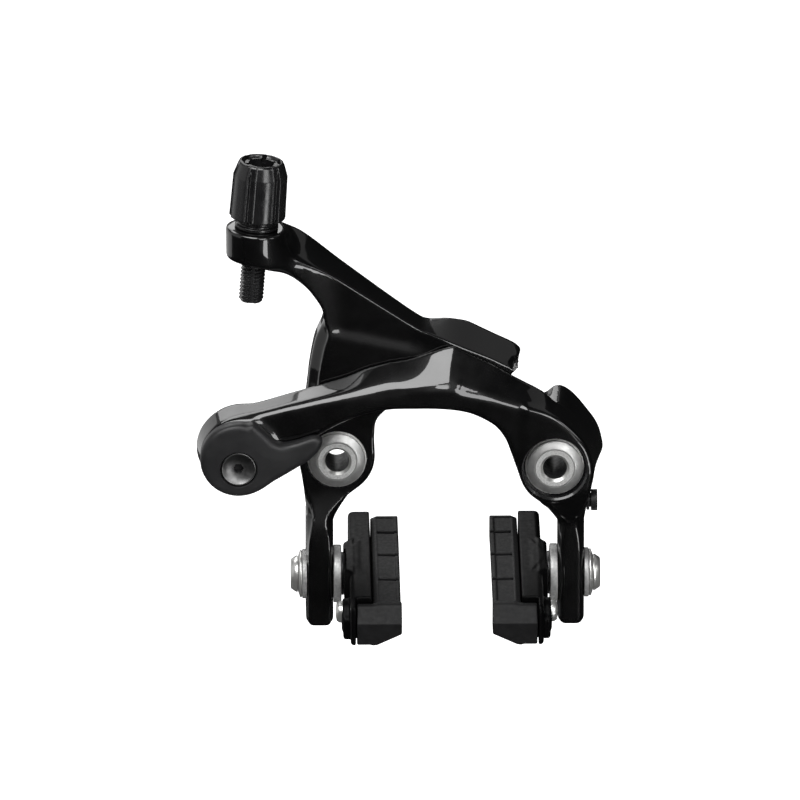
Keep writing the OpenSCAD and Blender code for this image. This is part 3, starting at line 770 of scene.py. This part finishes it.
# ---------------------------------------------------------------- barrel adjuster
def make_knob(mats):
    """Six broad panels with raised edges between grooves, under a cone and a notched rim."""
    around, levels = ((480, 72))
    first, pitch = math.radians(-90 + 9.5), math.radians(60)
    groove, edge = math.radians(7.0), math.radians(4.0)

    def radius(angle, height):
        off = abs((angle - first + pitch / 2) % pitch - pitch / 2)     # from a panel's middle
        crown = 6.9 + 0.35 * (1 - height / 16) - 0.12 * (off / (pitch / 2)) ** 2
        body = crown - 1.15 * max(0.0, height - 14.2) / 3.7
        to_groove = (pitch / 2 - groove) - off
        if to_groove < 0:
            depth = min(1.0, -to_groove / math.radians(2.2))
            body -= 0.75 * depth * (1 - min(1.0, max(0.0, (height - 14.6) / 2.4)))
        elif to_groove < edge:
            body += 0.13 * math.sin(math.pi * to_groove / edge)
        return body

    low, high = 3.0, 17.3                               # the straight part of the skin
    heights = [2.5, 2.52, 2.7, low]
    heights += [low + (high - low) * i / levels for i in range(1, levels + 1)]
    heights += [17.6, 17.8, 17.9]
    drop = {2.5: 0.75, 2.52: 0.7, 2.7: 0.25, 17.6: 0.05, 17.8: 0.18, 17.9: 0.4}
    inner = [(5.05, 17.9), (4.9, 17.7), (4.85, 17.0), (4.2, 16.9), (4.15, 17.3), (3.3, 17.3),
             (3.27, 17.1), (3.27, 2.5)]
    verts = []
    for i in range(around):
        a = 2 * math.pi * i / around
        for h in heights:
            r = radius(a, h) - drop.get(h, 0)
            verts.append(ON_ADJUSTER @ Vector((r * math.cos(a), r * math.sin(a), h)))
        for r, h in inner:
            verts.append(ON_ADJUSTER @ Vector((r * math.cos(a), r * math.sin(a), h)))
    faces = ring_faces(around, len(heights) + len(inner))
    knob = make_object("adjuster_grip", verts, faces, mats["plastic"], 50)
    notches = []
    for i in range(6):
        box = bmesh.new()
        bmesh.ops.create_cube(box, size=1.0)
        mesh = bpy.data.meshes.new("cutter")
        turn = Matrix.Rotation(math.radians(20 + 60 * i), 4, "Z")
        block = Matrix.Translation((4.1, 0, 17.6)) @ Matrix.Diagonal((1.9, 1.3, 3.0, 1))
        box.transform(Matrix.Scale(MM, 4) @ ON_ADJUSTER @ turn @ block)
        box.to_mesh(mesh)
        box.free()
        obj = bpy.data.objects.new("cutter", mesh)
        bpy.context.scene.collection.objects.link(obj)
        notches.append(obj)
    cut(knob, notches, mats["plastic"])
    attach(knob, "adjuster_knob_body")
    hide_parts("adjuster_knob")


def threaded_rod(name, low, high, outer, depth, bore, slot, material):
    """Hollow rod on the adjuster's axis, with a helical thread and a slot down its front.

    bore is a list of (radius, height), slot its half width and the radius of its floor.
    """
    around = 72
    per_turn = 12
    rows = int((high - low) / THREAD_PITCH * per_turn)
    half, floor = slot
    verts = []
    for i in range(around):
        a = 2 * math.pi * i / around
        for j in range(rows + 1):
            h = low + (high - low) * j / rows
            phase = (h / THREAD_PITCH - i / around) % 1.0
            wave = abs(2 * phase - 1)
            r = outer - depth * min(1.0, max(0.0, 1.35 * (1 - wave) - 0.1))
            ends = min(h - low, high - h)
            r = min(r, outer - depth * 1.1 + ends * 1.1) if ends < depth else r
            if h < high and math.sin(a) < 0 and abs(r * math.cos(a)) < half:
                r = min(r, floor)
            verts.append(ON_ADJUSTER @ Vector((r * math.cos(a), r * math.sin(a), h)))
        for r, h in bore:
            verts.append(ON_ADJUSTER @ Vector((r * math.cos(a), r * math.sin(a), h)))
    return make_object(name, verts, ring_faces(around, rows + 1 + len(bore)), material, 40)


def make_adjuster(mats):
    make_knob(mats)
    bore = [(2.55, 13.0), (2.55, 5.0), (1.1, 4.9), (1.1, -20.2)]
    rod = threaded_rod("adjuster_threaded_bolt", -20.2, 13.0, 3.2, 0.55, bore, (0.75, 2.3),
                       mats["alloy"])
    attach(rod, "adjuster_bolt_body")
    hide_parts("adjuster_bolt")
    ring = [(3.28, 0.02), (5.6, 0.02), (5.6, 0.8), (5.0, 1.0), (5.0, 1.5), (5.5, 1.7), (5.5, 2.2),
            (5.2, 2.4), (3.28, 2.4)]
    seat = lathe("adjuster_seat_ring", rounded(ring, 0.15), mats["plastic"], ON_ADJUSTER)
    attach(seat, "rear_arm_body")
    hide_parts("adjuster_seat")


# ---------------------------------------------------------------- quick release
LEVER_TAIL = [(-50.6, 13.2), (-46.4, 10.2), (-42.4, 8.3), (-38.7, 8.8), (-35.2, 9.9),
              (-33.2, 10.1), (-31.9, 9.3), (-32.0, 7.9), (-33.0, 6.0), (-34.6, 4.2), (-36.8, 2.6),
              (-48.8, -3.8), (-53.5, -2)]
LEVER_CURVE = smooth_closed(LEVER_TAIL)


def lever_field(x, y, z):
    depth = -y
    disc = disc_distance(x, z, *LEVER_DISC, LEVER_DISC_R)
    side = smooth_min(disc, outline_distance(LEVER_CURVE, x, z), 1.4)
    along = ramp(x, -47, -33)
    front = depth - (24.7 - 0.9 * along + 0.25 * np.clip(-side - 1.5, -3, 3) / 3)
    return smooth_max(smooth_max(side, front, 1.8), 20.8 - depth, 0.5)


def make_quick_release(mats):
    lever = sculpt("quick_release_handle", lever_field, (-64.6, -26.4, -7.0), (-30.4, -19.8, 15.4),
                   mats["lever"], 0.35)
    place = facing(*LEVER_AXIS)
    hole = [(0, 20), (2.5, 20), (2.5, 23.5), (0, 23.5)]
    recess = [(0, 22.8), (4.7, 22.8), (4.7, 24.5), (5.1, 25.1), (5.1, 27), (0, 27)]
    cutters = [lathe("cutter", hole, None, place, 48), lathe("cutter", recess, None, place, 96)]
    cut(lever, cutters, mats["lever"])
    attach(lever, "quick_release")
    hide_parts("quick_release_lever")
    body = [(0, 16.6), (2.45, 16.6), (2.45, 22.85), (4.5, 22.85), (4.5, 24.1), (4.38, 24.28),
            (4.1, 24.3), (3.95, 24.15), (1.9, 23.35), (0, 23.3)]
    screw = lathe("lever_hex_screw", body, mats["screw_head"], place, smooth_angle=30)
    cut(screw, [hex_cutter(1.35, 22.0, 26, place)], mats["black_steel"])
    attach(screw, "quick_release")
    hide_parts("lever_screw")


# ---------------------------------------------------------------- brake shoes
def shoe_place(side):
    """Puts shoe coordinates (distance from the middle, length, height) on the shoe axis."""
    c, t = math.cos(SHOE_PITCH), math.sin(SHOE_PITCH)

    def place(points):
        a, u, v = np.asarray(points, float).T
        v = v - u * u / RIM_CURVE
        return np.stack([side * a, -SHOE_DEPTH + u * c - v * t, SHOE_Z + u * t + v * c], 1)
    return place


def corner(a, b, ax, ay, bx, by):
    """Signed distance from the line A to B, positive on its right."""
    length = math.hypot(bx - ax, by - ay)
    return ((a - ax) * (by - ay) - (b - ay) * (bx - ax)) / length


def holder_field(a, u, v):
    under = -6.9 + 0.8 * ramp(-u, 17, 21)
    lower = corner(a, v, 22.4, -6.9, 24.8, -4.2) - 3.0 * ramp(-u, 16, 20)
    lower = smooth_max(lower, under - v, 0.8)
    body = smooth_max(smooth_max(a - 24.9, v - 5.3, 1.6), lower, 1.0)
    body = smooth_max(body, 19.3 - a, 0.4)
    body = smooth_max(body, smooth_max(u - 28.2, -27.6 - u, 0.5), 1.6)
    around = np.hypot(u, v)
    cone = smooth_max(around - (7.7 - 1.3 * (a - 24.0)), np.abs(a - 24.0) - 1.85, 0.3)
    cone = smooth_max(cone, v - 5.2, 1.2)
    hood = smooth_max(around - (11.2 - 0.85 * np.maximum(a - 24.4, 0)), a - 26.35, 0.5)
    hood = smooth_max(smooth_max(hood, np.abs(v - 1.0) - 4.3, 1.2), 24.05 - a, 0.3)
    hood = smooth_max(hood, -np.maximum(25.85 - a, around - 6.2), 0.2)      # room for the washers
    lug = smooth_max(np.hypot(u - SCREW_AT, v - SCREW_UP) - 3.9, a - 26.85, 0.6)
    foot = smooth_max(np.abs(u + 19.5) - 4.2, np.abs(v + 3.4) - 3.2, 1.5)
    foot = smooth_max(foot, a - 26.75, 0.8)
    extra = smooth_min(smooth_min(cone, hood, 0.5), smooth_min(lug, foot, 1.2), 0.5)
    body = smooth_min(body, smooth_max(extra, 20.5 - a, 0.3), 0.7)
    room = smooth_max(smooth_max(a - 23.5, u + 22.4, 0.8), 17 - a, 0.5)     # for the end block
    return smooth_max(body, -room, 0.5)


def insert_field(a, u, v):
    top = np.maximum(v - PAD_TOP, corner(a, v, 19.0, 3.3, 17.4, PAD_TOP))
    under = corner(a, v, PAD_FACE, -2.4, 18.3, PAD_BOTTOM)
    face = smooth_max(PAD_FACE - a, under, 0.4)
    bar = smooth_max(smooth_max(top, PAD_BOTTOM - v, 0.3), face, 0.35)
    bar = smooth_max(bar, a - 19.05, 0.3)
    bar = smooth_max(bar, u - 27.3, 0.5)
    panel = smooth_max(np.abs(a - 15.3) - 2.3, np.abs(u - 1.9) - 24.0, 0.5)
    bar = smooth_max(bar, -smooth_max(panel, 3.75 - v, 0.2), 0.25)
    for at in PAD_GROOVES:
        slot = np.maximum(np.abs(u - at - 0.06 * (a - 14)) - 0.7, np.minimum(2.9 - v, a - 13.4))
        bar = smooth_max(bar, -np.maximum(slot, a - 17.3), 0.2)
    block = smooth_max(smooth_max(a - 23.25, v - PAD_TOP, 0.5), face, 0.35)
    block = smooth_max(smooth_max(block, u + 22.9, 0.6), PAD_BOTTOM - v, 0.5)
    whole = smooth_min(bar, block, 1.0)
    nose = corner(-u, v, 28.1, 0.9, 24.4, PAD_TOP)
    chin = corner(-u, v, 26.7, -5.6, 28.1, 0.9)
    return smooth_max(whole, np.maximum(nose, chin), 0.25)


def make_shoe(side, word, mats):
    body, mounting = f"{word}_shoe", f"{word}_shoe_mounting"
    place, fine = shoe_place(side), (0.28)
    flip = side < 0
    holder = sculpt(f"{word}_holder_body", holder_field, (18.3, -28.6, -7.9), (27.2, 29.4, 10.6),
                    mats["holder"], fine, place, flip)
    pad = sculpt(f"{word}_pad_block", insert_field, (10.9, -29.2, -7.1), (24.3, 28.3, 5.0),
                 mats["rubber"], fine * 0.85, place, flip)
    axis = along_x(side)
    bolt_hole = [(0, 19.5), (3.0, 19.5), (3.0, 30), (0, 30)]
    cut(holder, [lathe("cutter", bolt_hole, None, axis, 48)], mats["holder"])
    where = place(np.array([[0, SCREW_AT, SCREW_UP + SCREW_AT ** 2 / RIM_CURVE]]))[0]
    screw_axis = along_x(side, -where[1], where[2])
    shape = [(0, 20), (0.98, 20), (0.98, 26.9), (2.8, 26.9), (2.8, 27.7), (2.3, 28.4), (1.2, 28.6),
             (0, 28.6)]
    screw = lathe(f"{word}_pad_screw", shape, mats["plated"], screw_axis, 64)
    cut(screw, [hex_cutter(1.0, 27.6, 30, screw_axis)], mats["plated"])
    for piece, node, slot in ((holder, "shoe_holder", "holder_alloy"),
                              (pad, "pad_insert", "pad_rubber"),
                              (screw, "insert_screw", "plated_steel")):
        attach(piece, body)
        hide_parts(f"{word}_{node}")
    shape = [(0, 20.5), (2.88, 20.5), (2.9, 38.22), (4.7, 38.22), (4.72, 38.6), (3.9, 39.85),
             (3.6, 40.0), (2.3, 40.0), (0, 39.9)]
    bolt = lathe(f"{word}_bolt", shape, mats["plated"], axis)
    cut(bolt, [hex_cutter(2.2, 38.7, 42, axis)], mats["plated"])
    washers = [
        ("outer", "washer",
         [(2.95, 35.87), (6.4, 35.87), (6.4, 36.9), (6.1, 37.08), (2.95, 37.08)]),
        ("dished", "plated",
         [(2.95, 37.12), (6.0, 37.12), (6.1, 37.3), (6.1, 37.6), (4.9, 38.0), (4.4, 38.18),
          (2.95, 38.18)]),
        ("spacer", "washer",
         [(2.95, 26.92), (7.2, 26.92), (7.5, 27.1), (7.5, 28.7), (7.35, 28.93), (2.95, 28.93)]),
        ("convex", "black_steel",
         [(2.95, 25.92), (4.8, 25.92), (5.3, 26.1), (5.55, 26.4), (5.6, 26.88), (2.95, 26.88)])]
    made = [(bolt, "shoe_bolt")]
    for kind, look, profile in washers:
        ring = lathe(f"{word}_washer_{kind}", rounded(profile, 0.12), mats[look], axis)
        made.append((ring, f"{kind}_washer"))
    for piece, node in made:
        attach(piece, mounting)
        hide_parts(f"{word}_{node}")


# ---------------------------------------------------------------- everything
def finish_cad_nodes(mats):
    """Materials for the CAD nodes that keep their own shape."""
    wanted = {
        "pivot_bushing": "bearing", "return_spring": "spring", "sync_plate": "plated",
        "roller_pin": "plated", "sync_roller": "plated", "centring_screw": "black_steel",
        "cam_shaft": "steel", "cable_clamp_plate": "plated", "cable_clamp_bolt": "steel"}
    for name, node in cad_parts.items():
        key = name.removeprefix("left_").removeprefix("right_")
        if key in wanted:
            for slot in node.material_slots:
                slot.material = mats[wanted[key]]


def main():
    make_camera()
    make_stage()
    mats = make_materials()
    make_front_arm(mats)
    make_rear_arm(mats)
    pivot_pieces(-1, "left", LEFT_STUD_FACE, mats)
    pivot_pieces(1, "right", RIGHT_STUD_FACE, mats)
    make_adjuster(mats)
    make_quick_release(mats)
    make_shoe(-1, "left", mats)
    make_shoe(1, "right", mats)
    finish_cad_nodes(mats)


main()
